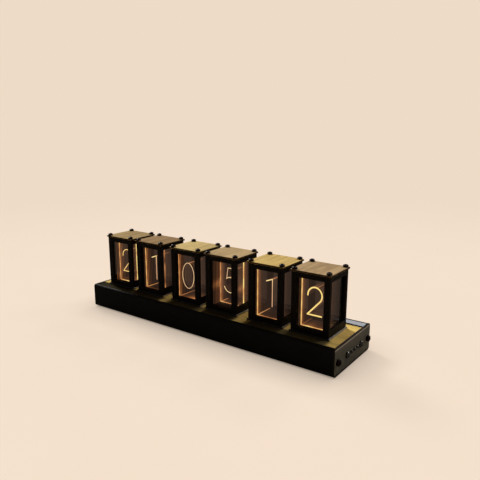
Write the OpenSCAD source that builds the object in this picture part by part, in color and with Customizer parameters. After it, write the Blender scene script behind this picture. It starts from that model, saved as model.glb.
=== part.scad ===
// Desk clock with six glazed digit lanterns on a long base.
// X runs along the clock, Y to the rear, Z up; the origin is under the middle of the base.

/* [Digit plates] */
// Number of clear plates in a lantern, one for each digit
digit_count = 10; // [6:1:12]
// Thickness of a digit plate
digit_plate_t = 1.5; // [1:0.1:2]
// Distance from one digit plate to the next
digit_plate_pitch = 2.3; // [2.2:0.1:3]
// Width of a digit plate
digit_plate_w = 28; // [24:0.5:34]
// Height of a digit plate above its shoulders
digit_plate_h = 51.3; // [44:0.1:62]
// Width of the tab under a digit plate
tab_w = 20; // [12:0.5:22]
// Length of the tab under a digit plate
tab_h = 2.4; // [1.6:0.1:2.6]

/* [Lantern] */
// Free space beside the digit plates
stack_side_gap = 0.75; // [0.5:0.05:2]
// Free space in front of the first and behind the last digit plate
stack_end_gap = 1.4; // [0.6:0.1:3]
// Thickness of the clear panes
pane_t = 1.5; // [1:0.1:2.5]
// Thickness of the side rails outside the panes
rail_t = 2; // [1.5:0.1:3]
// Thickness of the corner posts, front to rear
post_t = 3; // [2.8:0.1:5]
// Width of the corner posts
post_w = 5.5; // [5:0.1:8]
// Height of the front and rear sills
sill_h = 4; // [3:0.1:6]
// Height of the side sills
side_sill_h = 7; // [4:0.1:10]
// Height of the head above the windows
head_h = 4.8; // [3:0.1:8]
// Space between the digit plates and the top plate
lid_gap = 0.4; // [0.2:0.1:0.8]
// How far the top and foot plates stand out past the frame
plate_overhang = 1; // [0.5:0.1:2]
// Thickness of the wooden top plate
top_plate_t = 1.5; // [1:0.1:3]
// Thickness of the foot plate
foot_plate_t = 1.2; // [0.8:0.1:2]

/* [Lighting] */
// Thickness of the slotted comb that the digit plates stand in
comb_t = 2.7; // [2.7:0.1:3.5]
// Border of the comb around the stack
comb_margin = 0.35; // [0.2:0.05:0.4]
// Width of the side ledges that carry the comb
comb_ledge = 1.2; // [0.8:0.1:2]
// Thickness of the LED board
led_board_t = 1.2; // [0.8:0.1:1.6]
// Length of an LED
led_l = 3.8; // [2:0.1:6]
// Width of an LED
led_w = 1.2; // [0.8:0.1:1.6]
// Height of an LED
led_h = 0.8; // [0.5:0.1:1]
// Space between the LEDs and the underside of the comb
led_gap = 0.2; // [0.1:0.05:0.4]
// Width of the pin header under a lantern
header_w = 10; // [6:0.5:14]
// Thickness of the pin header
header_t = 2.5; // [2:0.1:4]

/* [Row of lanterns] */
// Space between the top plates of a pair
cell_gap = 6.5; // [3:0.5:12]
// Extra space between the pairs
pair_gap = 5.5; // [0:0.5:15]
// Base length past the last top plate
end_margin = 11.75; // [10:0.25:30]
// Base depth in front of the top plates
front_margin = 12.6; // [8:0.2:24]
// Base depth behind the top plates
rear_margin = 23.4; // [21:0.2:40]

/* [Base] */
// Height of the base shell
base_h = 25; // [24:0.5:40]
// Thickness of the front and rear walls
base_wall = 2.5; // [2:0.1:4]
// Thickness of the base floor
floor_t = 2.5; // [2:0.1:4]
// Radius of the long edges
corner_r = 2.5; // [1:0.1:2.9]
// Thickness of the end panels
panel_t = 1.6; // [1.2:0.1:4]
// How far the end panels stand above the deck
panel_rise = 0.2; // [0:0.1:1.5]
// Thickness of the wooden deck
deck_t = 4; // [3:0.1:6]
// Width of the black rim in front of the deck
deck_rim = 3; // [3:0.1:6]
// Deck depth behind the top plates
deck_rear = 8; // [4:0.2:8.4]
// Thickness of the ledge under the deck
ledge_t = 2; // [1.2:0.1:3]
// Width of the ledge under the deck
ledge_w = 2; // [1:0.1:4]
// Black strip between the deck and the rear trim
trim_gap = 2.6; // [1.5:0.1:4]
// Depth of the rear trim strip
trim_d = 8; // [4:0.2:8]
// Thickness of the rear trim strip
trim_t = 2.2; // [1:0.1:3]
// How far the rear trim stands above the shell
trim_rise = 0.3; // [0:0.1:1]
// Radius of a foot
foot_r = 5; // [3:0.5:8]
// Height of a foot below the shell
foot_h = 1; // [0.6:0.1:2]
// Depth of the recess that holds a foot
foot_sink = 0.6; // [0.3:0.1:1]
// Distance of the feet from the ends of the base
foot_inset_x = 24; // [12:1:60]
// Distance of the feet from the front and rear
foot_inset_y = 10; // [9:0.5:20]

/* [Boards] */
// Thickness of the main and button boards
board_t = 1.6; // [1:0.1:2]
// Space under the main board
board_lift = 2; // [1.5:0.1:3]
// Depth of the board guides on the walls
guide_d = 2; // [1.2:0.1:3]
// Thickness of the board guides
guide_t = 1.2; // [0.8:0.1:1.5]
// Radius of the backup cell
backup_r = 6.25; // [4:0.25:10]
// Height of the backup cell
backup_h = 2.5; // [1.6:0.1:4]
// Side of the controller chip
chip_s = 9; // [5:0.5:14]
// Height of the chips
chip_h = 1.4; // [0.8:0.1:2]
// Outer width of the power socket
socket_w = 9; // [8.6:0.1:9.4]
// Outer height of the power socket
socket_h = 3.2; // [3:0.1:3.6]
// Depth of the power socket
socket_d = 7.5; // [6:0.5:10]
// Wall of the power socket
socket_wall = 0.3; // [0.2:0.05:0.4]

/* [Controls] */
// Height of the row of controls above the main board
controls_rise = 6; // [4.8:0.1:7]
// Middle of the row of buttons, towards the rear
controls_y = 2; // [-4:0.5:4]
// Distance between the small buttons
small_button_pitch = 6; // [5.5:0.1:6.5]
// Distance from the middle of the row to a large button
large_button_offset = 14; // [13:0.1:16]
// Radius of a small button
small_button_r = 1.5; // [1:0.05:1.6]
// Radius of a large button
large_button_r = 2.9; // [2:0.05:3]
// How far the small buttons stand out
small_button_rise = 1.8; // [1:0.1:2.4]
// How far the large buttons stand out
large_button_rise = 2.7; // [1:0.1:2.7]
// Part of a button's rise that is domed
dome_share = 0.65; // [0.2:0.05:0.8]
// Travel of a button
button_travel = 0.8; // [0.4:0.1:0.9]
// Thickness of the flange that keeps a button in
flange_t = 1.2; // [0.8:0.1:2]
// How far the flange stands out past its button
flange_rim = 0.8; // [0.5:0.05:1]
// Radius of the plunger behind a button
plunger_r = 0.9; // [0.6:0.05:1.2]
// Side of a tact switch
switch_s = 4.8; // [4:0.1:5.2]
// Depth of a tact switch
switch_d = 3.2; // [2.6:0.1:5]
// How far a plunger reaches into its switch at rest
plunger_bite = 0.8; // [0.5:0.1:1]
// Height of the button board
button_board_h = 11; // [10:0.2:12]
// Border of the button board past the outer buttons
button_board_margin = 5; // [4:0.5:8]

/* [Fasteners] */
// Radius of a screw head
screw_head_r = 2.4; // [1.6:0.05:2.45]
// Height of the heads of the top screws
top_screw_head_h = 2.5; // [1.4:0.1:3]
// Height of the heads of the hidden screws
screw_head_h = 1.6; // [1.2:0.05:2]
// Radius of the heads of the panel screws
panel_screw_head_r = 2.9; // [2:0.05:3]
// Height of the heads of the panel screws
panel_screw_head_h = 3; // [3:0.1:3.5]
// Radius of a screw shank
screw_r = 1; // [0.8:0.05:1.1]
// Depth of a top screw in its post
top_screw_bite = 8; // [4:0.5:12]
// Distance of the post screws from the sides of the frame
post_screw_inset = 2; // [1.6:0.1:2.6]
// Depth of a panel screw in the shell
panel_screw_bite = 9; // [5:0.5:14]
// Distance of the panel screws from the front and rear
panel_screw_inset = 5.6; // [5.2:0.1:8]
// Width of the screw bosses on the walls
boss_s = 6; // [5:0.1:7]
// Depth of a hidden lantern screw in its post
cell_screw_bite = 5; // [3:0.5:8]

/* [Fits] */
// Clearance between fixed pieces
fit = 0.1; // [0.05:0.05:0.3]
// Clearance around a button
button_fit = 0.2; // [0.1:0.05:0.3]
// Space between a moving piece and its stop
stop_gap = 0.3; // [0.2:0.05:0.5]

/* [Hidden] */
$fn = 48;
over = 1;
cell_count = 6;
cells = [for (i = [0:cell_count - 1]) i];
sides = [-1, 1];

// Lantern sizes, from the stack of plates outwards
stack_d = (digit_count - 1) * digit_plate_pitch + digit_plate_t;
well_w = digit_plate_w + 2 * (stack_side_gap + pane_t);
well_d = stack_d + 2 * (stack_end_gap + pane_t);
frame_w = well_w + 2 * rail_t;
frame_d = well_d + 2 * post_t;
window_w = frame_w - 2 * post_w;
plate_w = frame_w + 2 * plate_overhang;
plate_d = frame_d + 2 * plate_overhang;
comb_w = digit_plate_w + 2 * comb_margin;
comb_d = stack_d + 2 * comb_margin;
led_recess_w = comb_w - 2 * comb_ledge;
recess_d = comb_d + 2 * fit;
post_screw_x = frame_w / 2 - post_screw_inset;
post_screw_y = (frame_d - post_t) / 2;

// Base sizes, from the row of lanterns
cell_pitch = plate_w + cell_gap;
row_l = cell_count * cell_pitch - cell_gap + (cell_count / 2 - 1) * pair_gap;
base_l = row_l + 2 * end_margin;
base_d = front_margin + plate_d + rear_margin;
shell_l = base_l - 2 * panel_t;
base_top = foot_h + base_h;
cell_y = -base_d / 2 + front_margin + plate_d / 2;
deck_front = -base_d / 2 + deck_rim;
deck_d = front_margin - deck_rim + plate_d + deck_rear;
trim_front = deck_front + deck_d + trim_gap;

// Heights inside the base and the lanterns
floor_top = foot_h + floor_t;
board_z = floor_top + board_lift;
board_top = board_z + board_t;
deck_z = base_top - deck_t;
led_z = base_top - led_gap - led_h;
led_board_z = led_z - led_board_t;
stack_z = base_top + comb_t;
lid_z = stack_z + digit_plate_h + lid_gap;
frame_z = base_top + foot_plate_t;
frame_h = lid_z - frame_z;
pane_h = frame_h - lid_gap;
window_h = frame_h - sill_h - head_h;
side_window_h = frame_h - side_sill_h - head_h;

// Controls, from the inner face of the right end panel inwards
panel_in = base_l / 2 - panel_t;
flange_x = panel_in - stop_gap - flange_t;
switch_x = flange_x - button_travel - stop_gap - switch_d;
button_board_x = switch_x - board_t;
controls_z = board_top + controls_rise;
panel_screw_y = base_d / 2 - panel_screw_inset;
buttons = [
    [-large_button_offset, large_button_r, large_button_rise],
    [-small_button_pitch, small_button_r, small_button_rise],
    [0, small_button_r, small_button_rise],
    [small_button_pitch, small_button_r, small_button_rise],
    [large_button_offset, large_button_r, large_button_rise]
];
button_names = ["front_button", "small_button_1", "small_button_2", "small_button_3", "rear_button"];

black = [0.04, 0.04, 0.04];
charcoal = [0.18, 0.17, 0.15];
light_wood = [0.72, 0.58, 0.38];
clear = [0.85, 0.8, 0.72, 0.35];
board_green = [0.08, 0.25, 0.14];
steel = [0.7, 0.7, 0.7];

cell_parts = ["foot_plate", "lantern_frame", "panes", "digit_plates", "top_plate"];

// Middle of a lantern along the base, in pairs
function cell_x(i) = (i - (cell_count - 1) / 2) * cell_pitch
    + (floor(i / 2) - (cell_count / 2 - 1) / 2) * pair_gap;

// Front face of a digit plate inside its lantern
function digit_plate_y(k) = -stack_d / 2 + k * digit_plate_pitch;

// A box centred in X and Y that stands on a height
module block(w, d, z, h) {
    translate([-w / 2, -d / 2, z]) cube([w, d, h]);
}

// A rectangle with round corners, centred across and standing on zero
module round_rect(w, h, r) {
    translate([-w / 2 + r, 0]) square([w - 2 * r, h]);
    translate([-w / 2, r]) square([w, h - 2 * r]);
    for (x = sides, y = [r, h - r]) translate([x * (w / 2 - r), y]) circle(r);
}

// A cross-section in Y and Z, drawn out along X from a place
module along_x(x, l) {
    translate([x, 0, 0]) rotate([90, 0, 90]) linear_extrude(l) children();
}

module at_cell(i) {
    translate([cell_x(i), cell_y, 0]) children();
}

module at_posts() {
    for (x = sides, y = sides) translate([x * post_screw_x, y * post_screw_y, 0]) children();
}

// A hole for a screw shank, upwards from a height
module shank_hole(z, h) {
    translate([0, 0, z]) cylinder(r = screw_r + fit, h = h);
}

module at_panel_screws() {
    for (y = sides) translate([0, y * panel_screw_y, controls_z]) rotate([0, 90, 0]) children();
}

module at_button(b) {
    translate([0, controls_y + b[0], controls_z]) rotate([0, 90, 0]) children();
}

// A domed screw with a hexagon socket, its head above zero and its shank below
module screw(head_r, head_h, shank_r, shank_l) {
    dome_r = head_r * 1.6;
    difference() {
        intersection() {
            cylinder(r = head_r, h = head_h);
            translate([0, 0, head_h - dome_r]) sphere(dome_r);
        }
        translate([0, 0, head_h / 2]) cylinder(r = head_r / 2, h = head_h, $fn = 6);
    }
    translate([0, 0, -shank_l]) cylinder(r = shank_r, h = shank_l);
}

// A slot with round ends, centred across and in height
module slot_2d(w, h) {
    translate([-(w - h) / 2, -h / 2]) square([w - h, h]);
    for (x = sides) translate([x * (w - h) / 2, 0]) circle(h / 2);
}

// Extruded section of the base: walls, floor, deck ledges, trim groove, board guides and screw bosses
module shell_section() {
    inner_d = base_d - 2 * base_wall;
    difference() {
        translate([0, foot_h]) round_rect(base_d, base_h, corner_r);
        translate([-inner_d / 2, floor_top]) square([inner_d, deck_z - ledge_t - floor_top]);
        translate([deck_front - fit, deck_z]) square([deck_d + 2 * fit, deck_t + over]);
        translate([deck_front + ledge_w, floor_top]) square([deck_d - 2 * ledge_w, base_h]);
        translate([trim_front - fit, base_top + trim_rise - trim_t])
            square([trim_d + 2 * fit, trim_t + over]);
    }
    for (y = sides) mirror([y > 0 ? 1 : 0, 0]) translate([-inner_d / 2, 0]) {
        translate([0, board_z - guide_t]) square([guide_d, guide_t]);
        translate([0, board_top + fit]) square([guide_d, guide_t]);
        difference() {
            translate([0, controls_z - boss_s / 2])
                square([panel_screw_inset - base_wall + boss_s / 2, boss_s]);
            translate([panel_screw_inset - base_wall, controls_z]) circle(screw_r + fit);
        }
    }
}

module base_shell() color(black) {
    difference() {
        along_x(-shell_l / 2, shell_l) shell_section();
        for (x = sides, y = sides)
            translate([x * (base_l / 2 - foot_inset_x), y * (base_d / 2 - foot_inset_y), 0])
                cylinder(r = foot_r + fit, h = foot_h + foot_sink);
    }
}

module feet() color([0.1, 0.1, 0.1]) {
    for (x = sides, y = sides)
        translate([x * (base_l / 2 - foot_inset_x), y * (base_d / 2 - foot_inset_y), 0])
            cylinder(r = foot_r, h = foot_h + foot_sink);
}

module deck() color(light_wood) {
    difference() {
        translate([-shell_l / 2 + fit, deck_front, deck_z]) cube([shell_l - 2 * fit, deck_d, deck_t]);
        for (i = cells) at_cell(i) {
            block(led_recess_w, recess_d, led_board_z, deck_t);
            block(header_w + 4 * fit, header_t + 4 * fit, deck_z - over, deck_t);
            at_posts() shank_hole(deck_z - over, deck_t + 2 * over);
        }
    }
}

module rear_trim() color([0.75, 0.75, 0.75]) {
    translate([-shell_l / 2 + fit, trim_front, base_top + trim_rise - trim_t])
        cube([shell_l - 2 * fit, trim_d, trim_t]);
}

// Plain end panel with its two screw holes, drawn out along X from a place
module end_panel(x) {
    difference() {
        along_x(x, panel_t) translate([0, foot_h]) round_rect(base_d, base_h + panel_rise, corner_r);
        translate([x - over, 0, 0]) at_panel_screws() cylinder(r = screw_r + fit, h = panel_t + 2 * over);
    }
}

module end_panel_right() color(charcoal) {
    difference() {
        end_panel(panel_in);
        for (b = buttons) translate([panel_in - over, 0, 0]) at_button(b)
            cylinder(r = b[1] + button_fit, h = panel_t + 2 * over);
    }
}

module end_panel_left() color(charcoal) {
    difference() {
        end_panel(-base_l / 2);
        along_x(-base_l / 2 - over, panel_t + 2 * over) translate([0, board_top + socket_h / 2])
            slot_2d(socket_w + 4 * fit, socket_h + 4 * fit);
    }
}

module panel_screws() color(black) {
    for (x = sides) mirror([x < 0 ? 1 : 0, 0, 0]) translate([base_l / 2, 0, 0])
        at_panel_screws() screw(panel_screw_head_r, panel_screw_head_h, screw_r, panel_t + panel_screw_bite);
}

module main_board() color(board_green) {
    board_d = base_d - 2 * base_wall - 2 * fit;
    translate([-shell_l / 2 + fit, -board_d / 2, board_z])
        cube([button_board_x + board_t + shell_l / 2 - fit, board_d, board_t]);
}

module board_chips() color([0.08, 0.08, 0.09]) {
    block(chip_s, chip_s, board_top, chip_h);
    for (x = sides) translate([x * cell_pitch, cell_y + 2 * chip_s, 0])
        block(chip_s, chip_s / 2, board_top, chip_h);
}

module backup_cell() color(steel) {
    translate([-2 * cell_pitch, cell_y + 2 * chip_s, board_top]) cylinder(r = backup_r, h = backup_h);
}

// Shell with a closed rear and a contact tongue, its mouth flush with the left end panel
module power_socket() color(steel) {
    rear_t = 2 * socket_wall;
    tongue_w = socket_w - 8 * socket_wall;
    tongue_h = 2.5 * socket_wall;
    translate([0, 0, board_top + socket_h / 2]) {
        difference() {
            along_x(-base_l / 2, socket_d) slot_2d(socket_w, socket_h);
            along_x(-base_l / 2 - over, socket_d - rear_t + over)
                slot_2d(socket_w - 2 * socket_wall, socket_h - 2 * socket_wall);
        }
        translate([-base_l / 2 + socket_d / 4, -tongue_w / 2, -tongue_h / 2])
            cube([socket_d * 3 / 4 - rear_t, tongue_w, tongue_h]);
    }
}

module button_board() color(board_green) {
    w = 2 * (large_button_offset + button_board_margin);
    translate([button_board_x, controls_y - w / 2, board_top]) cube([board_t, w, button_board_h]);
}

module tact_switches() color([0.1, 0.1, 0.1]) {
    for (b = buttons) difference() {
        translate([switch_x, controls_y + b[0] - switch_s / 2, controls_z - switch_s / 2])
            cube([switch_d, switch_s, switch_s]);
        translate([switch_x + switch_d - plunger_bite - button_travel - stop_gap, 0, 0]) at_button(b)
            cylinder(r = plunger_r + button_fit, h = switch_d);
    }
}

// Domed button with a flange behind the panel and a plunger that reaches into its switch
module push_button(b) color([0.12, 0.11, 0.1]) {
    r = b[1];
    reach = base_l / 2 + b[2] - flange_x;
    dome_h = b[2] * dome_share;
    dome_r = (r * r + dome_h * dome_h) / (2 * dome_h);
    plunger_l = flange_x - switch_x - switch_d + plunger_bite;
    translate([flange_x, 0, 0]) at_button(b) {
        cylinder(r = r, h = reach - dome_h);
        intersection() {
            translate([0, 0, reach - dome_h]) cylinder(r = r, h = dome_h);
            translate([0, 0, reach - dome_r]) sphere(dome_r, $fn = 96);
        }
        cylinder(r = r + flange_rim, h = flange_t);
        translate([0, 0, -plunger_l]) cylinder(r = plunger_r, h = plunger_l);
    }
}

module cell_headers() color([0.06, 0.06, 0.06]) {
    for (i = cells) at_cell(i) block(header_w, header_t, board_top, led_board_z - board_top);
}

module cell_screws() color(steel) {
    for (i = cells) at_cell(i) at_posts() translate([0, 0, deck_z]) mirror([0, 0, 1])
        screw(screw_head_r, screw_head_h, screw_r, deck_t + foot_plate_t + cell_screw_bite);
}

module led_boards() color([0.9, 0.9, 0.86]) {
    for (i = cells) at_cell(i) block(led_recess_w - 2 * fit, comb_d, led_board_z, led_board_t);
}

module edge_leds() color([1, 0.85, 0.5]) {
    for (i = cells, k = [0:digit_count - 1]) at_cell(i)
        translate([0, digit_plate_y(k) + digit_plate_t / 2, 0]) block(led_l, led_w, led_z, led_h);
}

module light_combs() color(black) {
    for (i = cells) at_cell(i) difference() {
        block(comb_w, comb_d, base_top, comb_t);
        for (k = [0:digit_count - 1]) translate([0, digit_plate_y(k) + digit_plate_t / 2, 0])
            block(tab_w + 2 * fit, digit_plate_t + 2 * fit, base_top - over, comb_t + 2 * over);
    }
}

module top_screws() color(black) {
    for (i = cells) at_cell(i) at_posts() translate([0, 0, lid_z + top_plate_t])
        screw(screw_head_r, top_screw_head_h, screw_r, top_plate_t + top_screw_bite);
}

// Thin plate on the deck with an opening for the comb
module foot_plate(i) color(steel) {
    at_cell(i) difference() {
        block(plate_w, plate_d, base_top, foot_plate_t);
        block(comb_w + 2 * fit, recess_d, base_top - over, foot_plate_t + 2 * over);
        at_posts() shank_hole(base_top - over, foot_plate_t + 2 * over);
    }
}

// Moulded frame: low sills, four corner posts and the head around an open well
module lantern_frame(i) color(black) {
    at_cell(i) difference() {
        block(frame_w, frame_d, frame_z, frame_h);
        block(well_w, well_d, frame_z - over, frame_h + 2 * over);
        block(window_w, frame_d + 2 * over, frame_z + sill_h, window_h);
        block(frame_w + 2 * over, well_d, frame_z + side_sill_h, side_window_h);
        at_posts() {
            shank_hole(frame_z - over, cell_screw_bite + stop_gap + over);
            shank_hole(lid_z - top_screw_bite - stop_gap, top_screw_bite + stop_gap + over);
        }
    }
}

// Side panes run the full depth of the well, front and rear panes stand between them
module panes(i) color(clear) {
    end_w = well_w - 2 * pane_t - 2 * fit;
    at_cell(i) for (s = sides) {
        translate([s * (well_w - pane_t) / 2, 0, 0]) block(pane_t - fit, well_d - 2 * fit, frame_z, pane_h);
        translate([0, s * (well_d - pane_t) / 2, 0]) block(end_w, pane_t - fit, frame_z, pane_h);
    }
}

// Clear plates that stand on the comb by their shoulders, each with a tab over its LED
module digit_plates(i) color(clear) {
    at_cell(i) for (k = [0:digit_count - 1])
        translate([0, digit_plate_y(k) + digit_plate_t, stack_z]) rotate([90, 0, 0])
            linear_extrude(digit_plate_t) {
                translate([-digit_plate_w / 2, 0]) square([digit_plate_w, digit_plate_h]);
                translate([-tab_w / 2, -tab_h]) square([tab_w, tab_h + over]);
            }
}

module top_plate(i) color(light_wood) {
    at_cell(i) difference() {
        block(plate_w, plate_d, lid_z, top_plate_t);
        at_posts() shank_hole(lid_z - over, top_plate_t + 2 * over);
    }
}

base_shell();
deck();
rear_trim();
end_panel_right();
end_panel_left();
panel_screws();
feet();
main_board();
board_chips();
backup_cell();
power_socket();
button_board();
tact_switches();
for (k = [0:len(buttons) - 1]) push_button(buttons[k]);
cell_headers();
cell_screws();
led_boards();
edge_leds();
light_combs();
top_screws();
for (i = cells) {
    foot_plate(i);
    lantern_frame(i);
    panes(i);
    digit_plates(i);
    top_plate(i);
}
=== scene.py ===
"""Looks of the desk clock: materials, glowing digits, floor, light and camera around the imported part."""

import math
from collections import namedtuple

import bmesh
import bpy
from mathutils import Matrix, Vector

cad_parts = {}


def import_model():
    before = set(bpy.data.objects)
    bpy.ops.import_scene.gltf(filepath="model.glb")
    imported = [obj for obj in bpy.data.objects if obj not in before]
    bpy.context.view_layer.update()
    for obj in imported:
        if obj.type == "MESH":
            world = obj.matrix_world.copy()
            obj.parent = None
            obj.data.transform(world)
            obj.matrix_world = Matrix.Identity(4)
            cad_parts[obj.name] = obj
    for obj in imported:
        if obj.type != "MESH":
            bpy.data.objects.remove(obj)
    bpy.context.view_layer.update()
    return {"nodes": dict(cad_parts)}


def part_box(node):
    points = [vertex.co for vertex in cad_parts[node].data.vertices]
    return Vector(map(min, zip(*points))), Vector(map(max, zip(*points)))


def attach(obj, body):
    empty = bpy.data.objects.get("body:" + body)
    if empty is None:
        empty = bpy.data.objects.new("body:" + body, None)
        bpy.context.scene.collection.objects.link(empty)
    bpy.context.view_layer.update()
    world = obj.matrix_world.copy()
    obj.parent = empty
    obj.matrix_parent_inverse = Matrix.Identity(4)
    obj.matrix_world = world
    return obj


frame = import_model()
nodes = frame["nodes"]

MM = 0.001
BODY = "clock"
CELLS = range(1, 7)

# Digit plates, as in the part: how many, how thick, and the tabs below their shoulders (millimetres)
PLATE_COUNT = 10
PLATE_T = 1.5
TAB_H = 2.4

# Stack of digit plates, from the frame (millimetres)
plates_low, plates_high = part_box("digit_plates_1")
PLATE_HALF_W = (plates_high.x - plates_low.x) / 2 / MM
PLATE_PITCH = ((plates_high.y - plates_low.y) / MM - PLATE_T) / (PLATE_COUNT - 1)
STACK_Z = plates_low.z / MM + TAB_H
PLATE_TOP = plates_high.z / MM

# Edges in the frame that the paint on the base follows (metres)
FOOT_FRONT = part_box("foot_plate_1")[0].y
PANEL_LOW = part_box("end_panel_right")[0].z
PANEL_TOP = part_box("end_panel_right")[1].z

# The time on the clock, one digit for each lantern from the left
TIME = (2, 1, 0, 5, 1, 2)

# Box of a digit on its plate (millimetres): shift to the side, rise above the shoulders, half width, height
# and lower edge
GLYPH_X = -0.9
GLYPH_RISE = 11.1
GLYPH_W = 7.5
GLYPH_H = 26.4
GLYPH_LOW = STACK_Z + GLYPH_RISE

# Sockets of a Mix node that mixes colours
MIX_FACTOR = 0
MIX_A = 6
MIX_B = 7
MIX_RESULT = 2


class Tree:
    """Nodes of a material or of the world under construction."""

    def __init__(self, owner, output="ShaderNodeOutputMaterial"):
        self.owner = owner
        owner.use_nodes = True
        self.tree = owner.node_tree
        self.tree.nodes.clear()
        self.out = self.add(output)

    def feed(self, socket, value):
        """Links another socket to a socket, or sets its value."""
        if isinstance(value, bpy.types.NodeSocket):
            self.tree.links.new(value, socket)
        else:
            socket.default_value = value

    def add(self, kind, inputs=None, **settings):
        """A new node with its settings, and with values or links for its inputs."""
        node = self.tree.nodes.new(kind)
        for name, value in settings.items():
            setattr(node, name, value)
        for name, value in (inputs or {}).items():
            self.feed(node.inputs[name], value)
        return node

    def place(self, scale=(1, 1, 1), offset=(0, 0, 0)):
        """Coordinates of the piece in metres, stretched by scale."""
        coords = self.add("ShaderNodeTexCoord").outputs["Object"]
        mapping = {"Vector": coords, "Scale": scale, "Location": offset}
        return self.add("ShaderNodeMapping", mapping).outputs["Vector"]

    def here(self):
        """Coordinates of the piece in metres, by axis."""
        return self.add("ShaderNodeSeparateXYZ", {"Vector": self.place()}).outputs

    def facing(self, axis):
        """A value of 1 on faces square to an axis and 0 on faces along it."""
        normal = self.add("ShaderNodeNewGeometry").outputs["True Normal"]
        parts = self.add("ShaderNodeSeparateXYZ", {"Vector": normal}).outputs
        return self.math("ABSOLUTE", parts[axis], 0.0)

    def noise(self, vector, scale, detail=3.0, rough=0.55, twist=0.0):
        """Cloudy values from 0 to 1."""
        values = {"Vector": vector, "Scale": scale, "Detail": detail, "Roughness": rough, "Distortion": twist}
        return self.add("ShaderNodeTexNoise", values).outputs["Fac"]

    def ramp(self, value, *stops):
        """Colours (or greys) along a value from 0 to 1."""
        node = self.add("ShaderNodeValToRGB", {"Fac": value})
        points = node.color_ramp.elements
        while len(points) < len(stops):
            points.new(1.0)
        for point, (at, shade) in zip(points, stops):
            point.position = at
            point.color = (*shade, 1.0) if isinstance(shade, tuple) else (shade, shade, shade, 1.0)
        return node.outputs["Color"]

    def span(self, value, low, high):
        """A value from 0 to 1 moved to the range from low to high."""
        values = {"Value": value, "To Min": low, "To Max": high}
        return self.add("ShaderNodeMapRange", values).outputs["Result"]

    def limits(self, value, low, high, **settings):
        """A value of 0 at low and 1 at high, even in between unless a setting smooths it."""
        values = {"Value": value, "From Min": low, "From Max": high}
        return self.add("ShaderNodeMapRange", values, **settings).outputs["Result"]

    def math(self, kind, a, b):
        """Two values joined by one operation."""
        return self.add("ShaderNodeMath", {0: a, 1: b}, operation=kind).outputs[0]

    def blend(self, factor, a, b, kind="MIX"):
        """Two colours joined by a share of the second."""
        node = self.add("ShaderNodeMix", data_type="RGBA", blend_type=kind)
        self.feed(node.inputs[MIX_FACTOR], factor)
        self.feed(node.inputs[MIX_A], a if isinstance(a, bpy.types.NodeSocket) else (*a, 1.0))
        self.feed(node.inputs[MIX_B], b if isinstance(b, bpy.types.NodeSocket) else (*b, 1.0))
        return node.outputs[MIX_RESULT]

    def soft_edges(self, radius):
        """Normals that round the sharp edges off."""
        return self.add("ShaderNodeBevel", {"Radius": radius}, samples=4).outputs["Normal"]

    def edges(self, normal, sharp=0.25):
        """A value of 1 on the edges and 0 on the flats."""
        flat = self.add("ShaderNodeNewGeometry").outputs["Normal"]
        dot = self.add("ShaderNodeVectorMath", {0: flat, 1: normal}, operation="DOT_PRODUCT")
        return self.limits(self.math("SUBTRACT", 1.0, dot.outputs["Value"]), 0.0, sharp)

    def bump(self, height, depth, strength, normal=None):
        """Normals of a fine relief."""
        inputs = {"Height": height, "Distance": depth, "Strength": strength}
        if normal is not None:
            inputs["Normal"] = normal
        return self.add("ShaderNodeBump", inputs).outputs["Normal"]

    def surface(self, **inputs):
        """Ends the material in one Principled shader."""
        named = {name.replace("_", " "): value for name, value in inputs.items()}
        shader = self.add("ShaderNodeBsdfPrincipled", named)
        self.feed(self.out.inputs["Surface"], shader.outputs["BSDF"])
        return self.owner

    def mix(self, factor, under, over):
        """A mix of two shaders."""
        return self.add("ShaderNodeMixShader", {0: factor, 1: under.outputs[0], 2: over.outputs[0]})

    def layered(self, factor, under, over):
        """Ends the nodes in a mix of two shaders."""
        self.feed(self.out.inputs["Surface"], self.mix(factor, under, over).outputs[0])
        return self.owner


def material(name):
    """A new material, still without a shader."""
    return Tree(bpy.data.materials.new(name))


def rgb(red, green, blue):
    """A colour on the 0 to 255 scale of a picture, as linear light."""
    def linear(c):
        c /= 255
        return c / 12.92 if c <= 0.04045 else ((c + 0.055) / 1.055) ** 2.4

    return linear(red), linear(green), linear(blue)


def scaled(values, factor):
    """Each of some values, or each part of a colour, times a factor."""
    return tuple(v * factor for v in values)


# Materials of the part

# Wood: stretch of its grain, and its growth rings from dark to pale as shares of its colour
GRAIN = 0.07
RING_DARK = (0.9, 0.84, 0.78)
RING_MIDDLE = 1.16
RING_LIGHT = 1.34
RING_PALE = 1.06

# Share and tint of the highlight painted along the wood's edges, and tint of its cut edges
EDGE_HIGHLIGHT_SHARE = 0.55
EDGE_HIGHLIGHT = 1.5
BURNT = (0.1, 0.075, 0.05)

# Tint of the shadow painted on the deck's front, and the depths at which it starts and is complete (metres)
SHADOW_TINT = (0.87, 1.0, 1.6)
FRONT_STRIP = (FOOT_FRONT + 0.0022, FOOT_FRONT - 0.0001)


def shadow_colour(k):
    """Colour of the shadow painted on the deck's front, the cooler the darker it is."""
    return tuple(k * (1 + (tint - 1) * (1 - k)) for tint in SHADOW_TINT)


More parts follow.
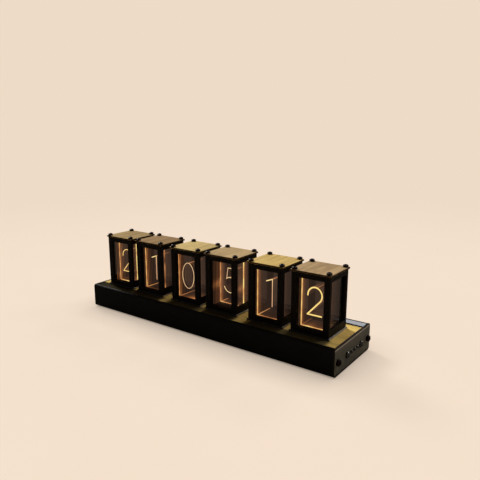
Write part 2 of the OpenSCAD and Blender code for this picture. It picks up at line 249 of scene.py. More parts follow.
def wood(name, colour, along_y, offset, shine, front=None):
    """Thin light wood with growth rings, fibres and pores along one axis, and a highlight painted along its
    edges.
    front lists the shadow painted on its front strip, each with its place along the base."""
    t = material(name)
    grain = t.place((1.0, GRAIN, 1.0) if along_y else (GRAIN, 1.0, 1.0), offset)
    rings = t.noise(grain, scale=210.0, detail=2.0, rough=0.5, twist=0.6)
    fibres = t.noise(grain, scale=1500.0, detail=4.0, rough=0.65)
    pores = t.noise(grain, scale=3400.0, detail=2.0, rough=0.5)
    clouds = t.noise(t.place(offset=offset), scale=45.0, detail=2.0)
    dark = tuple(c * k for c, k in zip(colour, RING_DARK))
    middle = scaled(colour, RING_MIDDLE)
    light = scaled(colour, RING_LIGHT)
    tone = t.ramp(rings, (0.3, dark), (0.44, middle), (0.56, light), (0.72, scaled(light, RING_PALE)))
    tone = t.blend(0.4, tone, t.ramp(fibres, (0.3, 0.62), (0.7, 1.0)), "MULTIPLY")
    tone = t.blend(0.5, tone, t.ramp(pores, (0.32, 0.45), (0.42, 1.0)), "MULTIPLY")
    tone = t.blend(0.5, tone, t.ramp(clouds, (0.3, 0.72), (0.7, 1.1)), "MULTIPLY")
    # Painted shadow on the deck's front strip, darkest before the lanterns and lighter in line with the gaps
    if front:
        here = t.here()
        first = front[0][0]
        last = front[-1][0]
        stops = [((x - first) / (last - first), shadow_colour(k)) for x, k in front]
        shades = t.ramp(t.limits(here["X"], first, last), *stops)
        near = t.limits(here["Y"], *FRONT_STRIP)
        tone = t.blend(near, tone, t.blend(1.0, tone, shades, "MULTIPLY"))
    tone = t.blend(t.facing("Z"), t.blend(1.0, tone, BURNT, "MULTIPLY"), tone)
    rounded = t.soft_edges(radius=0.0004)
    # Highlight painted along the wood's edges
    edge_highlight = t.math("MULTIPLY", t.edges(rounded), EDGE_HIGHLIGHT_SHARE)
    tone = t.blend(edge_highlight, tone, scaled(colour, EDGE_HIGHLIGHT))
    height = t.math("ADD", fibres, t.math("MULTIPLY", pores, 0.6))
    return t.surface(Base_Color=tone, Roughness=t.span(fibres, 0.42, 0.68), Specular_IOR_Level=shine,
                     Normal=t.bump(height, depth=0.00008, strength=0.35, normal=rounded))


def black_plastic(name, base, rough, shine, edge, grit):
    """Satin black with a fine moulded grit, worn a little lighter along its edges."""
    t = material(name)
    whole = t.place()
    fine = t.noise(whole, scale=grit, detail=2.0)
    clouds = t.noise(whole, scale=60.0)
    patches = t.noise(whole, scale=240.0)
    rounded = t.soft_edges(radius=0.0005)
    worn = t.math("MULTIPLY", t.edges(rounded), t.span(patches, 0.3, 1.0))
    colour = t.blend(clouds, scaled(base, 0.75), scaled(base, 1.25))
    colour = t.blend(worn, colour, edge)
    return t.surface(Base_Color=colour, Roughness=t.span(clouds, rough - 0.08, rough + 0.1),
                     Specular_IOR_Level=shine,
                     Normal=t.bump(fine, depth=0.00004, strength=0.3, normal=rounded))


# Heights at which the marks painted on an end panel start and are complete (metres): the highlight line
# painted near its top, the band of painted shade above that line and the line of painted shadow at its foot
PANEL_HIGHLIGHT = (PANEL_TOP - 0.0023, PANEL_TOP - 0.002)
PANEL_SHADE_BAND = (PANEL_TOP - 0.0012, PANEL_TOP - 0.0009)
PANEL_FOOT_SHADOW = (PANEL_LOW + 0.0022, PANEL_LOW + 0.0014)

# Brushed metal: stretch of its lines, and the shadow painted on the front of a foot plate: its shade, the
# depth at which it starts and the length over which it fades in (metres)
BRUSHED = 0.02
FOOT_SHADOW = 0.12
FOOT_SHADOW_FROM = FOOT_FRONT + 0.0012
FOOT_SHADOW_FADE = 0.0004


def brushed(name, base, rough, along, radius, edge=None, rim=None, metal=0.0, shine=0.5, front=None):
    """Metal brushed along one axis, with soft edges. edge is the colour of those edges; rim is the dark
    painted as shade on a panel's narrow faces, on a band near its top and at its foot, and the pale of a
    highlight line painted near its top; front is the depth in front of which the metal is painted darker as
    shadow."""
    t = material(name)
    stretch = [1.0, 1.0, 1.0]
    stretch[along] = BRUSHED
    lines = t.noise(t.place(stretch), scale=2600.0, rough=0.7)
    clouds = t.noise(t.place(), scale=70.0)
    rounded = t.soft_edges(radius)
    colour = t.blend(lines, scaled(base, 0.82), scaled(base, 1.12))
    colour = t.blend(0.5, colour, t.ramp(clouds, (0.3, 0.8), (0.7, 1.1)), "MULTIPLY")
    if edge:
        colour = t.blend(t.edges(rounded), colour, edge)
    if rim:
        dark, pale = rim
        # Highlight line, band of shade and shadow at the foot painted on an end panel; its narrow faces
        # painted dark as shade
        height = t.here()["Z"]
        colour = t.blend(t.limits(height, *PANEL_HIGHLIGHT), colour, pale)
        colour = t.blend(t.limits(height, *PANEL_SHADE_BAND), colour, dark)
        colour = t.blend(t.limits(height, *PANEL_FOOT_SHADOW), colour, dark)
        colour = t.blend(t.facing("X"), dark, colour)
    if front:
        # Shadow painted on the front strip of a foot plate, before the lantern
        near = t.limits(t.here()["Y"], front, front - FOOT_SHADOW_FADE)
        colour = t.blend(near, colour, scaled(base, FOOT_SHADOW))
    return t.surface(Base_Color=colour, Metallic=metal, Roughness=t.span(lines, rough - 0.1, rough + 0.12),
                     Specular_IOR_Level=shine,
                     Normal=t.bump(lines, depth=0.00003, strength=0.25, normal=rounded))


# Clear sheets: how fast the gloss grows with the angle of view, and the share of a faint glow painted on each
# face of a plate in place of the light it scatters
GLOSS_POWER = 5.0
SCATTER_GLOW_SHARE = 0.004


def glazing(name, tint, grazing, rough, streak, shine=0.0, scatter_glow=None):
    """Clear sheet with faint smears; the gloss grows from shine to grazing with the angle of view.
    The last argument is the colour of a faint glow painted on the sheet in place of the light it scatters."""
    t = material(name)
    smears = t.noise(t.place((1.0, 1.0, 0.12)), scale=230.0, rough=0.6, twist=0.5)
    colour = t.blend(smears, scaled(tint, 1 - streak), scaled(tint, 1 + streak))
    clear = t.add("ShaderNodeBsdfTransparent", {"Color": colour})
    gloss = t.add("ShaderNodeBsdfGlossy", {"Roughness": t.span(smears, rough, rough + 0.12)})
    slant = t.add("ShaderNodeLayerWeight").outputs["Facing"]
    share = t.math("MULTIPLY", t.math("POWER", slant, GLOSS_POWER), grazing)
    if not scatter_glow:
        return t.layered(t.math("ADD", share, shine), clear, gloss)
    # Faint glow painted on the plate, in place of the light it scatters
    clouds = t.noise(t.place((1.0, 1.0, 0.4)), scale=160.0, rough=0.6, twist=1.0)
    milk_and_glow = t.blend(clouds, scaled(scatter_glow, 0.6), scaled(scatter_glow, 1.4))
    glow = t.add("ShaderNodeEmission", {"Color": milk_and_glow, "Strength": 1.0})
    return t.layered(SCATTER_GLOW_SHARE, t.mix(share, clear, gloss), glow)


def engraved(name, share):
    """Fine milky line cut into a clear sheet."""
    t = material(name)
    frost = t.noise(t.place(), scale=2200.0)
    milk_and_glow = t.blend(frost, (0.4, 0.36, 0.32), (0.7, 0.64, 0.58))
    clear = t.add("ShaderNodeBsdfTransparent")
    milky = t.add("ShaderNodeBsdfDiffuse", {"Color": milk_and_glow})
    return t.layered(t.span(frost, share * 0.6, share * 1.4), clear, milky)


def plain_part(name, dark, light, scale, rough):
    """Small inner parts: two shades of one colour, with a little texture."""
    t = material(name)
    patches = t.noise(t.place(), scale, detail=4.0, rough=0.6)
    return t.surface(Base_Color=t.blend(patches, dark, light),
                     Roughness=t.span(patches, rough - 0.1, rough + 0.1),
                     Normal=t.bump(patches, depth=0.00003, strength=0.3))


def circuit_board(name):
    """Solder mask over copper tracks."""
    t = material(name)
    tracks = t.add("ShaderNodeTexBrick", {"Vector": t.place(), "Scale": 60.0, "Mortar Size": 0.03})
    lines = tracks.outputs["Fac"]
    colour = t.blend(lines, (0.008, 0.045, 0.018), (0.02, 0.11, 0.04))
    return t.surface(Base_Color=colour, Roughness=t.span(lines, 0.35, 0.5),
                     Normal=t.bump(lines, depth=0.00003, strength=0.4))


# Light of the digits: its colour by level, its pale shade, the colour of its surface, the strength of strokes
# and rims, and the strength and share of their reflections
AMBER = (
    (0.0, 0.0),
    (0.12, rgb(58, 39, 26)),
    (0.25, rgb(110, 68, 38)),
    (0.5, rgb(200, 138, 84)),
    (0.75, rgb(240, 195, 119)),
    (1.0, rgb(255, 233, 145)),
)
PALE_GOLD = rgb(236, 222, 196)
UNLIT = (0.02, 0.012, 0.005, 1.0)
LINE_STRENGTH = 6.8
ECHO_STRENGTH = 215.0
ECHO_SHARE = (0.012, 0.018)


def amber(t):
    """Colour of the light, from dull copper to pale gold by the glow value of the mesh, and its grain."""
    glow = t.add("ShaderNodeAttribute", attribute_name="glow").outputs["Fac"]
    grain = t.noise(t.place(), scale=900.0, detail=2.0)
    level = t.math("MULTIPLY", glow, t.span(grain, 0.85, 1.15))
    return t.ramp(level, *AMBER), grain


def light_line(name, pale=0.0):
    """Lit stroke or rim, from golden to pale."""
    t = material(name)
    colour, grain = amber(t)
    if pale:
        colour = t.blend(pale, colour, PALE_GOLD)
    return t.surface(Base_Color=UNLIT, Roughness=t.span(grain, 0.3, 0.5),
                     Emission_Color=colour, Emission_Strength=LINE_STRENGTH)


def light_echo(name):
    """Reflection of a lit stroke inside a clear plate, painted as a faint glow."""
    t = material(name)
    colour, grain = amber(t)
    shine = t.add("ShaderNodeEmission", {"Color": colour, "Strength": ECHO_STRENGTH})
    return t.layered(t.span(grain, *ECHO_SHARE), t.add("ShaderNodeBsdfTransparent"), shine)


# Shadow painted on the deck: its shade in front of each lantern and in front of the gap to its right, and how
# far to the right of that gap its painted patch of light starts and ends (metres)
FRONT_SHADOWS = (
    (0.06, 0.06, 0.0, 0.0),
    (0.15, 0.9, 0.003, 0.005),
    (0.19, 0.8, 0.005, 0.004),
    (0.16, 1.0, 0.002, 0.005),
    (0.16, 0.26, 0.0, 0.0),
    (0.22, 1.0, 0.001, 0.0),
)

# Painted shade at the left end of the deck, how far that end lies from the first foot plate and the right end
# from the last, and how far inside a foot plate and outside of it the painted shade changes (metres)
LEFT_SHADOW = 0.012
LEFT_END = 0.012
RIGHT_END = 0.018
INSIDE = 0.001
OUTSIDE = 0.002


def painted_front_shadows():
    """Places along the base and the shadow painted on the deck's front strip at each."""
    made = [(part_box("foot_plate_1")[0].x - LEFT_END, LEFT_SHADOW)]
    shift = 0.0
    for cell, (under, gap, start, end) in zip(CELLS, FRONT_SHADOWS):
        low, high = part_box(f"foot_plate_{cell}")
        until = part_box(f"foot_plate_{cell + 1}")[0].x if cell < len(FRONT_SHADOWS) else high.x + RIGHT_END
        made += [(low.x + INSIDE + shift, under), (high.x - INSIDE + start, under)]
        made += [(high.x + OUTSIDE + start, gap), (until - OUTSIDE + end, gap)]
        shift = end
    return made


# Colours of the deck and of each top plate from the left, and the black of the frames and edges
DECK_WOOD = (214, 184, 106)
TOP_WOODS = (
    (156, 131, 83),
    (142, 114, 75),
    (192, 168, 110),
    (178, 152, 109),
    (199, 170, 103),
    (169, 143, 104),
)
BLACK = (0.0076, 0.006, 0.0045)
EDGE_BLACK = (0.012, 0.0115, 0.0105)

# Axes along which metal is brushed
ALONG_X = 0
ALONG_Y = 1

shell_black = black_plastic("shell_black", base=(0.0075, 0.0077, 0.0074), rough=0.5, shine=0.03,
                            edge=EDGE_BLACK, grit=2600.0)
frame_black = black_plastic("frame_black", base=BLACK, rough=0.42, shine=0.04,
                            edge=EDGE_BLACK, grit=3200.0)
comb_black = black_plastic("comb_black", base=(0.004, 0.003, 0.0024), rough=0.6, shine=0.1,
                           edge=(0.012, 0.01, 0.008), grit=1800.0)
screw_black = black_plastic("screw_black", base=(0.009, 0.0045, 0.0045), rough=0.36, shine=0.07,
                            edge=(0.022, 0.014, 0.014), grit=5200.0)
button_black = black_plastic("button_black", base=(0.004, 0.004, 0.0036), rough=0.19, shine=0.95,
                             edge=(0.008, 0.0075, 0.007), grit=4200.0)
rubber = black_plastic("rubber", base=(0.012, 0.012, 0.012), rough=0.85, shine=0.15,
                       edge=(0.03, 0.03, 0.03), grit=1500.0)
panel_grey = brushed("panel_grey", base=(0.098, 0.097, 0.074), rough=0.5, along=ALONG_Y, radius=0.0003,
                     rim=((0.006, 0.0035, 0.001), (0.4, 0.35, 0.28)), shine=0.15)
trim_metal = brushed("trim_metal", base=(0.43, 0.455, 0.5), rough=0.4, along=ALONG_X, radius=0.0004,
                     edge=(0.55, 0.58, 0.63), shine=0.1)
foot_metal = brushed("foot_metal", base=(0.48, 0.45, 0.39), rough=0.45, along=ALONG_X, radius=0.0002,
                     edge=(0.45, 0.43, 0.38), shine=0.1, front=FOOT_SHADOW_FROM)
steel = brushed("steel", base=(0.55, 0.55, 0.55), rough=0.3, along=ALONG_X, radius=0.0002,
                edge=(0.8, 0.8, 0.8), metal=1.0)
pane_clear = glazing("pane_clear", tint=(0.4, 0.378, 0.366), grazing=0.45, rough=0.03, streak=0.07,
                     shine=0.003)
plate_clear = glazing("plate_clear", tint=(0.994, 0.993, 0.992), grazing=0.2, rough=0.05, streak=0.004,
                      scatter_glow=(2.35, 1.55, 1.15))
deck_wood = wood("deck_wood", rgb(*DECK_WOOD), along_y=False, offset=(0.21, 0.07, 0.0), shine=0.005,
                 front=painted_front_shadows())
board_green = circuit_board("board_green")
chip_black = plain_part("chip_black", dark=(0.008, 0.008, 0.009), light=(0.02, 0.02, 0.022),
                        scale=700.0, rough=0.6)
led_white = plain_part("led_white", dark=(0.7, 0.69, 0.64), light=(0.82, 0.81, 0.77),
                       scale=400.0, rough=0.5)
led_yellow = plain_part("led_yellow", dark=(0.75, 0.5, 0.12), light=(0.95, 0.72, 0.25),
                        scale=1500.0, rough=0.4)
engraving = engraved("engraving", share=0.012)
edge_glow = light_line("edge_glow")
echo_glow = light_echo("echo_glow")

LOOKS = {
    "base_shell": shell_black,
    "deck": deck_wood,
    "rear_trim": trim_metal,
    "end_panel_right": panel_grey,
    "end_panel_left": panel_grey,
    "panel_screws": screw_black,
    "feet": rubber,
    "main_board": board_green,
    "board_chips": chip_black,
    "backup_cell": steel,
    "power_socket": steel,
    "button_board": board_green,
    "tact_switches": chip_black,
    "front_button": button_black,
    "small_button_1": button_black,
    "small_button_2": button_black,
    "small_button_3": button_black,
    "rear_button": button_black,
    "cell_headers": chip_black,
    "cell_screws": steel,
    "led_boards": led_white,
    "edge_leds": led_yellow,
    "light_combs": comb_black,
    "top_screws": screw_black,
}
# The grain is shifted from one top plate to the next, so that no two are alike
for cell, colour in zip(CELLS, TOP_WOODS):
    LOOKS[f"top_plate_{cell}"] = wood(f"top_wood_{cell}", rgb(*colour), along_y=True,
                                      offset=(0.37 * cell, 0.19 * cell, 0.0), shine=0.06)
    LOOKS[f"foot_plate_{cell}"] = foot_metal
    LOOKS[f"lantern_frame_{cell}"] = frame_black
    LOOKS[f"panes_{cell}"] = pane_clear
    LOOKS[f"digit_plates_{cell}"] = plate_clear
for name, look in LOOKS.items():
    for slot in nodes[name].material_slots:
        slot.material = look


# Strokes of the digits, as paths in the digit's own box (millimetres)

def arc(cx, cz, rx, rz, start, end, steps=28):
    """Points on an ellipse between two angles in degrees."""
    turn = [math.radians(start + (end - start) * k / steps) for k in range(steps + 1)]
    return [(cx + rx * math.cos(a), cz + rz * math.sin(a)) for a in turn]


def line(a, b, steps=10):
    """Points on a straight line."""
    return [tuple(p + (q - p) * k / steps for p, q in zip(a, b)) for k in range(steps + 1)]


W, H = GLYPH_W, GLYPH_H
STEM = 3.4
GLYPHS = {
    0: [arc(0, H / 2, W, H / 2, 90, 450, 56)],
    1: [line((STEM - 6.4, H - 2.4), (STEM, H)), line((STEM, H), (STEM, 0.7))],
    2: [arc(0, 18.8, 6.8, 7.2, 184, -42) + line((5.05, 13.98), (-6.8, 0.9))[1:],
        line((-6.8, 0.9), (6.7, 0.9))],
    3: [arc(0, 19.8, 6.6, 6.6, 150, -90), arc(0, 6.6, 7.2, 6.6, 90, -150)],
    4: [line((STEM, 0), (STEM, H)), line((STEM, H), (-W, 8.0)), line((-W, 8.0), (W, 8.0))],
    5: [line((6.3, H - 0.8), (-3.4, H - 0.8)), line((-3.4, H - 0.8), (-5.0, 14.6)),
        arc(-0.4, 8.6, 7.7, 7.8, 129, -162)],
    6: [arc(6.5, 8.5, 14.0, 17.9, 100, 180), arc(0, 7.8, W, 7.8, 180, 540, 48)],
    7: [line((-W, H), (W, H)), line((W, H), (-2.5, 0))],
    8: [arc(0, 19.8, 6.2, 6.6, 90, 450, 44), arc(0, 6.6, W, 6.6, 90, 450, 48)],
    9: [arc(0, H - 7.8, W, 7.8, 0, 360, 48), arc(-6.5, H - 8.5, 14.0, 17.9, 0, -80)],
}

# Top of each digit of the time in its own box, where the trail of its reflections starts
TOPS = {0: (0.8, H), 1: (STEM, H), 2: (1.6, H - 0.6), 5: (6.0, H - 0.8)}

# Rings that close an open bead: how far out they lie, in half widths, and their size
ROUND_ENDS = ((1.0, 0.3), (0.7, 0.75))
CLOSED_GAP = 1e-6


def sweep(bm, path, flat, half_w, half_t, glow, sides=8):
    """A bead with an oval section along a path. flat is the direction of half_t; the ends are rounded off."""
    layer = bm.verts.layers.float.get("glow") or bm.verts.layers.float.new("glow")
    points = [Vector(p) for p in path]
    closed = (points[0] - points[-1]).length < CLOSED_GAP
    if closed:
        points.pop()
        glow = glow[:-1]
    count = len(points)
    rings = []

    def ring(centre, along, size, value):
        side = along.cross(flat).normalized()
        made = []
        for k in range(sides):
            a = 2 * math.pi * k / sides
            offset = side * (half_w * math.cos(a)) + flat * (half_t * math.sin(a))
            vert = bm.verts.new((centre + offset * size) * MM)
            vert[layer] = value
            made.append(vert)
        return made

    for k, point in enumerate(points):
        before = points[k - 1] if closed or k else point
        after = points[(k + 1) % count] if closed or k < count - 1 else point
        along = (after - before).normalized()
        if not closed and k == 0:
            for out, size in ROUND_ENDS:
                rings.append(ring(point - along * half_w * out, along, size, glow[k]))
        rings.append(ring(point, along, 1.0, glow[k]))
        if not closed and k == count - 1:
            for out, size in reversed(ROUND_ENDS):
                rings.append(ring(point + along * half_w * out, along, size, glow[k]))
    pairs = list(zip(rings, rings[1:] + rings[:1])) if closed else list(zip(rings, rings[1:]))
    for a, b in pairs:
        for k in range(sides):
            n = (k + 1) % sides
            bm.faces.new((a[k], a[n], b[n], b[k]))
    if not closed:
        bm.faces.new(reversed(rings[0]))
        bm.faces.new(rings[-1])


def piece(name, bm, look):
    """A new piece of the clock from a mesh."""
    bmesh.ops.recalc_face_normals(bm, faces=bm.faces)
    mesh = bpy.data.meshes.new(name)
    bm.to_mesh(mesh)
    bm.free()
    for polygon in mesh.polygons:
        polygon.use_smooth = True
    mesh.materials.append(look)
    made = bpy.data.objects.new(name, mesh)
    bpy.context.scene.collection.objects.link(made)
    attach(made, BODY)


# Glow along the strokes of a digit: the short stroke and the stem of a 1, with the stem's gain near its top
# and the length over which that fades (millimetres), the side of a 5, and all other strokes with their waves
BAR_GLOW = 1.1
STEM_GLOW = 0.56
STEM_GAIN = 0.35
STEM_FADE = 9
SIDE_GLOW = 0.6
STROKE_GLOW = 0.94
STROKE_WAVE = 0.08
STROKE_TURNS = 9
STROKE_SLANT = 0.05


def stroke_glow(digit, number, path):
    """Glow along a stroke of a digit, by the stroke's number: brighter across the light than along it."""
    if digit == 1 and number == 0:
        return [BAR_GLOW] * len(path)
    if digit == 1:
        top = GLYPH_LOW + GLYPH_H
        return [STEM_GLOW + STEM_GAIN * max(0.0, 1 - (top - z) / STEM_FADE) for _, _, z in path]
    if digit == 5 and number == 1:
        return [SIDE_GLOW] * len(path)
    return [STROKE_GLOW + STROKE_WAVE * math.sin((z - GLYPH_LOW) / GLYPH_H * STROKE_TURNS + x * STROKE_SLANT)
            for x, _, z in path]


def through(stops, count):
    """Values through evenly spaced stops."""
    made = []
    for k in range(count):
        at = (len(stops) - 1) * k / (count - 1)
        n = min(int(at), len(stops) - 2)
        made.append(stops[n] + (stops[n + 1] - stops[n]) * (at - n))
    return made


# Light of each lit plate from the left: left rim, right rim, bottom rim from left to right, line to the rear,
# share of the bottom rim in the plates behind, and paleness, level and half width of the digit's strokes
Glow = namedtuple("Glow", "left right bottom rear under pale power half_w")
GLOWS = (
    Glow(left=0.56, right=1.15, bottom=(0.55, 0.8, 0.95, 0.7, 0.6), rear=0.2, under=0.3,
         pale=0.0, power=0.9, half_w=0.5),
    Glow(left=0.6, right=0.36, bottom=(0.3, 0.2, 0.15, 0.2, 0.3), rear=0.6, under=0.3,
         pale=0.25, power=0.9, half_w=0.46),
    Glow(left=0.5, right=0.2, bottom=(0.2, 0.3, 0.55, 0.85, 0.95), rear=0.45, under=0.85,
         pale=0.42, power=0.76, half_w=0.26),
    Glow(left=0.52, right=0.85, bottom=(0.75, 0.55, 0.5, 0.65, 0.75), rear=0.55, under=0.35,
         pale=0.4, power=0.85, half_w=0.44),
    Glow(left=0.66, right=0.25, bottom=(0.65, 0.4, 0.3, 0.45, 0.58), rear=0.62, under=0.35,
         pale=0.3, power=0.9, half_w=0.46),
    Glow(left=0.78, right=0.2, bottom=(0.56, 1.0, 0.6, 0.66, 0.7), rear=0.3, under=0.4,
         pale=0.0, power=1.08, half_w=0.64),
)

# Beads of light: half width and half thickness (millimetres), and sides of the thin ones
STROKE_HALF_T = 0.3
SIDE_BEAD = (0.36, 0.74)
FOOT_BEAD = (0.35, 0.6)
REAR_BEAD = (0.4, 0.3)
THIN_STROKE = (0.5, 0.12)
THIN_SIDE = (0.2, 0.6)
THIN_FOOT = (0.25, 1.0)
TRAIL_BEAD = (0.35, 0.35)
THIN_SIDES = 6

# Steps along a rim, and places of the light on a plate (millimetres): rims in from the plate's ends, beads
# above its foot, and start, inset and overshoot of the lines that run to the rear
RIM_STEPS = 20
RIM_INSET = 0.5
FOOT_RISE = 0.4
THIN_RISE = 0.3
REAR_START = 1.0
REAR_INSET = 0.3
REAR_GAP = 3.0

# Waves along the rims, and dashes along the right one: share, turn by height and start
RIPPLE = 0.12
RIPPLE_TURN = 0.55
DASHES = 0.3
DASH_TURN = 0.3
DASH_START = 8.1

# Reflections: first one of a digit and fade from plate to plate, light beside the plates behind and its fade,
# fade of the line to the rear and of the trail from the digit's top
ECHO_FIRST = 0.14
ECHO_FADE = 0.8
BESIDE = 0.3
BESIDE_FADE = 0.66
REAR_FADE = (1.0, 0.85, 0.6)
TRAIL_FADE = (0.36, 0.3, 0.2)

# Light beside the plates in front of the lit one: level, and height and gain of a brighter patch, by lantern;
# its fade from plate to plate and the spread of the patch
AHEAD = {1: (0.16, 0.1, 1.0), 4: (0.22, 0.39, 1.3)}
AHEAD_PLAIN = (0.12, 0.0, 0.0)
AHEAD_FADE = 0.85
AHEAD_SPREAD = 0.08

DEPTH = Vector((0, 1, 0))
UP = Vector((0, 0, 1))


def spaced(first, last):
    """Evenly spaced places along a rim."""
    return [first + (last - first) * k / RIM_STEPS for k in range(RIM_STEPS + 1)]


class Stack:
    """Places in the stack of digit plates of one lantern (millimetres)."""

    def __init__(self, cell, digit):
        low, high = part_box(f"digit_plates_{cell}")
        self.middle = (low.x + high.x) / 2 / MM
        self.first = low.y / MM
        self.front = self.face(digit)
        self.centre = self.front + PLATE_T / 2
        self.back = self.face(PLATE_COUNT - 1) + PLATE_T
        self.left = self.middle - PLATE_HALF_W
        self.right = self.middle + PLATE_HALF_W
        self.rise = spaced(STACK_Z + RIM_INSET, PLATE_TOP - RIM_INSET)
        self.across = spaced(self.left, self.right)

    def face(self, plate):
        """Depth of the front face of a plate."""
        return self.first + plate * PLATE_PITCH

    def strokes(self, digit, depth):
        """Paths of a digit's strokes at a depth."""
        left = self.middle + GLYPH_X
        return [[(left + x, depth, GLYPH_LOW + z) for x, z in stroke] for stroke in GLYPHS[digit]]


def light_digit(cell, digit, stack, glow):
    """Strokes of the digit that is lit."""
    lit = bmesh.new()
    for number, path in enumerate(stack.strokes(digit, stack.front)):
        level = scaled(stroke_glow(digit, number, path), glow.power)
        sweep(lit, path, DEPTH, glow.half_w, STROKE_HALF_T, level)
    piece(f"lit_digit_{cell}", lit, light_line(f"digit_glow_{cell}", glow.pale))


def light_rims(cell, stack, glow):
    """Light along the rims of the lit plate, and along the floor to the rear."""
    rims = bmesh.new()
    for x, level, dashes in ((stack.left, glow.left, 0.0), (stack.right, glow.right, DASHES)):
        waves = [1 + RIPPLE * math.sin(z * RIPPLE_TURN + cell) + dashes * math.sin(z * DASH_TURN - DASH_START)
                 for z in stack.rise]
        sweep(rims, [(x, stack.centre, z) for z in stack.rise], DEPTH, *SIDE_BEAD, scaled(waves, level))
    foot = [(x, stack.centre, STACK_Z + FOOT_RISE) for x in stack.across]
    sweep(rims, foot, DEPTH, *FOOT_BEAD, through(glow.bottom, len(foot)))
    to_rear = spaced(stack.centre + REAR_START, stack.back + REAR_GAP)
    rear = [(stack.left + REAR_INSET, y, STACK_Z + FOOT_RISE) for y in to_rear]
    sweep(rims, rear, UP, *REAR_BEAD, through(scaled(REAR_FADE, glow.rear), len(rear)))
    piece(f"rim_light_{cell}", rims, edge_glow)


def light_beside(cell, digit, plate):
    """Light along the sides of a plate that isn't lit, from its foot to its top."""
    if plate > digit:
        return [BESIDE * BESIDE_FADE ** (plate - digit - 1)] * (RIM_STEPS + 1)
    first, height, gain = AHEAD.get(cell, AHEAD_PLAIN)
    patch = [math.exp(-((k / RIM_STEPS - height) / AHEAD_SPREAD) ** 2) for k in range(RIM_STEPS + 1)]
    return [first * AHEAD_FADE ** (digit - plate - 1) * (1 + gain * p) for p in patch]


def light_stack(cell, digit, stack, glow):
    """Engravings of the plates that are not lit, and reflections of the light in them painted as faint glows.
    """
    echoes = bmesh.new()
    marks = bmesh.new()
    level = ECHO_FIRST
    for plate in range(PLATE_COUNT):
        if plate == digit:
            continue
        face = stack.face(plate)
        centre = face + PLATE_T / 2
        for path in stack.strokes(plate, face):
            sweep(marks, path, DEPTH, *THIN_STROKE, [0.0] * len(path), THIN_SIDES)
        beside = light_beside(cell, digit, plate)
        for x, share in ((stack.left, 1.0), (stack.right, glow.right)):
            side = [(x, centre, z) for z in stack.rise]
            sweep(echoes, side, DEPTH, *THIN_SIDE, scaled(beside, share), THIN_SIDES)
        if plate < digit:
            continue
        for number, path in enumerate(stack.strokes(digit, face + PLATE_T)):
            echo = scaled(stroke_glow(digit, number, path), level)
            sweep(echoes, path, DEPTH, *THIN_STROKE, echo, THIN_SIDES)
        foot = [(x, centre, STACK_Z + THIN_RISE) for x in stack.across]
        fade = glow.under * ECHO_FADE ** (plate - digit)
        sweep(echoes, foot, DEPTH, *THIN_FOOT, scaled(through(glow.bottom, len(foot)), fade), THIN_SIDES)
        level *= ECHO_FADE
    top_x, top_z = TOPS[digit]
    top = (stack.middle + GLYPH_X + top_x, GLYPH_LOW + top_z)
    trail = [(top[0], y, top[1]) for y in spaced(stack.front + REAR_START, stack.back)]
    sweep(echoes, trail, UP, *TRAIL_BEAD, through(TRAIL_FADE, len(trail)), THIN_SIDES)
    piece(f"engravings_{cell}", marks, engraving)
    piece(f"reflections_{cell}", echoes, echo_glow)


for cell, digit, glow in zip(CELLS, TIME, GLOWS):
    stack = Stack(cell, digit)
    light_digit(cell, digit, stack, glow)
    light_rims(cell, stack, glow)
    light_stack(cell, digit, stack, glow)


# Floor, background, light and camera

# Colours of the background and of the floor, mottle of the floor, its radius and where it fades out (metres)
CREAM = rgb(238, 219, 199)
FLOOR_CREAM = rgb(245, 226, 206)
MOTTLE = 0.015
FLOOR_R = 1.6
FLOOR_SIDES = 96
FADE_OUT = (0.3, 1.1)

# Share of the floor's colour that no lamp changes, reach (metres) and shade of the shadow close to the clock,
# strengths of the floor and of the background in mirrors, and colour and strength of the background's light
EVEN_SHARE = 0.87
CLOSE_REACH = 0.04
CLOSE_SHADE = 0.34
MIRRORED_FLOOR = 0.1
MIRRORED_SKY = 0.22
SKY_COLOUR = (1.0, 0.97, 0.93, 1.0)
SKY_STRENGTH = 0.05

# Lamps: name, where it shines from, strength, spread in degrees and colour
LAMPS = (
    ("key", (-0.75, 0.28, 0.68), 2.75, 16.0, (1.0, 0.99, 0.96)),
    ("side", (0.6, 0.8, 0.8), 0.75, 9.0, (1.0, 0.91, 0.87)),
    ("rear", (0.0, 1.0, 0.8), 0.95, 11.0, (1.0, 0.91, 0.87)),
)

# Camera: place (metres), angles below the horizon and round the upright (degrees), and lens and sensor
# (millimetres)
CAMERA_AT = (0.3103, -0.3854, 0.1983)
CAMERA_DIP = 12.356
CAMERA_TURN = 36.116
LENS = 38.24
SENSOR = 36.0

# Surfaces that a ray may pass on its way through the clear plates
SEE_THROUGH = 512


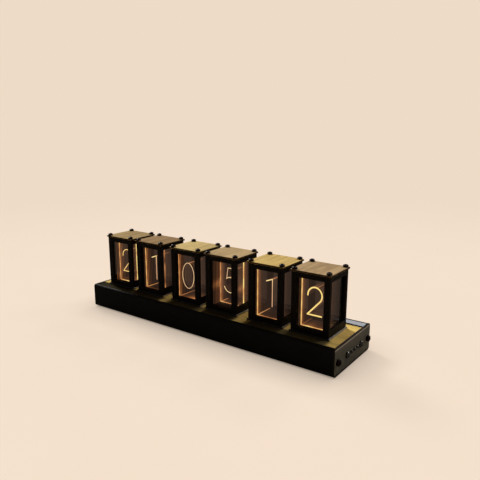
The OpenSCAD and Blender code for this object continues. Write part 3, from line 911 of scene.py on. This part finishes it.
def floor():
    """A round pale floor that fades into the background."""
    bm = bmesh.new()
    bmesh.ops.create_circle(bm, cap_ends=True, segments=FLOOR_SIDES, radius=FLOOR_R)
    mesh = bpy.data.meshes.new("floor")
    bm.to_mesh(mesh)
    bm.free()
    made = bpy.data.objects.new("floor", mesh)
    bpy.context.scene.collection.objects.link(made)
    t = material("floor")
    here = t.place()
    far = t.add("ShaderNodeVectorMath", {0: here}, operation="LENGTH").outputs["Value"]
    fade = t.limits(far, *FADE_OUT, interpolation_type="SMOOTHSTEP")
    paint = t.noise(here, scale=8.0, detail=2.0)
    colour = t.blend(paint, scaled(FLOOR_CREAM, 1 - MOTTLE), scaled(FLOOR_CREAM, 1 + MOTTLE))
    rays = t.add("ShaderNodeLightPath").outputs
    seen = t.math("MAXIMUM", rays["Is Camera Ray"], rays["Is Transmission Ray"])
    seen = t.math("MAXIMUM", seen, rays["Is Glossy Ray"])
    close = t.add("ShaderNodeAmbientOcclusion", {"Distance": CLOSE_REACH}, samples=12).outputs["AO"]
    shaded = t.blend(1.0, colour, t.span(close, CLOSE_SHADE, 1.0), "MULTIPLY")
    strength = t.span(rays["Is Glossy Ray"], 1.0, MIRRORED_FLOOR)
    lit = t.add("ShaderNodeBsdfDiffuse", {"Color": colour})
    even = t.add("ShaderNodeEmission", {"Color": shaded, "Strength": strength})
    solid = t.mix(t.math("MULTIPLY", seen, EVEN_SHARE), lit, even)
    mesh.materials.append(t.layered(fade, solid, t.add("ShaderNodeBsdfTransparent")))


def world():
    """Cream where it is seen, quieter where it is mirrored and where it lights the clock."""
    t = Tree(bpy.data.worlds.new("studio"), "ShaderNodeOutputWorld")
    rays = t.add("ShaderNodeLightPath").outputs
    mirrored = t.math("MULTIPLY", rays["Is Glossy Ray"], MIRRORED_SKY)
    seen = t.math("MAXIMUM", rays["Is Camera Ray"], mirrored)
    seen = t.math("MAXIMUM", seen, rays["Is Transmission Ray"])
    soft = t.add("ShaderNodeBackground", {"Color": SKY_COLOUR, "Strength": SKY_STRENGTH})
    backdrop = t.add("ShaderNodeBackground", {"Color": (*CREAM, 1.0)})
    bpy.context.scene.world = t.layered(seen, soft, backdrop)


def sun(name, towards, strength, spread, colour):
    """Even light from one side, with soft shadows."""
    data = bpy.data.lights.new(name, "SUN")
    data.energy = strength
    data.angle = math.radians(spread)
    data.color = colour
    made = bpy.data.objects.new(name, data)
    made.location = towards
    made.rotation_mode = "QUATERNION"
    made.rotation_quaternion = (-Vector(towards)).to_track_quat("-Z", "Y")
    bpy.context.scene.collection.objects.link(made)


def camera():
    """The photograph's view."""
    data = bpy.data.cameras.new("camera")
    data.sensor_width = SENSOR
    data.lens = LENS
    made = bpy.data.objects.new("camera", data)
    made.location = CAMERA_AT
    made.rotation_euler = (math.radians(90 - CAMERA_DIP), 0, math.radians(CAMERA_TURN))
    bpy.context.scene.collection.objects.link(made)
    bpy.context.scene.camera = made


floor()
world()
for lamp in LAMPS:
    sun(*lamp)
camera()

scene = bpy.context.scene
scene.view_settings.view_transform = "Standard"
scene.cycles.transparent_max_bounces = SEE_THROUGH
scene.cycles.min_transparent_bounces = SEE_THROUGH
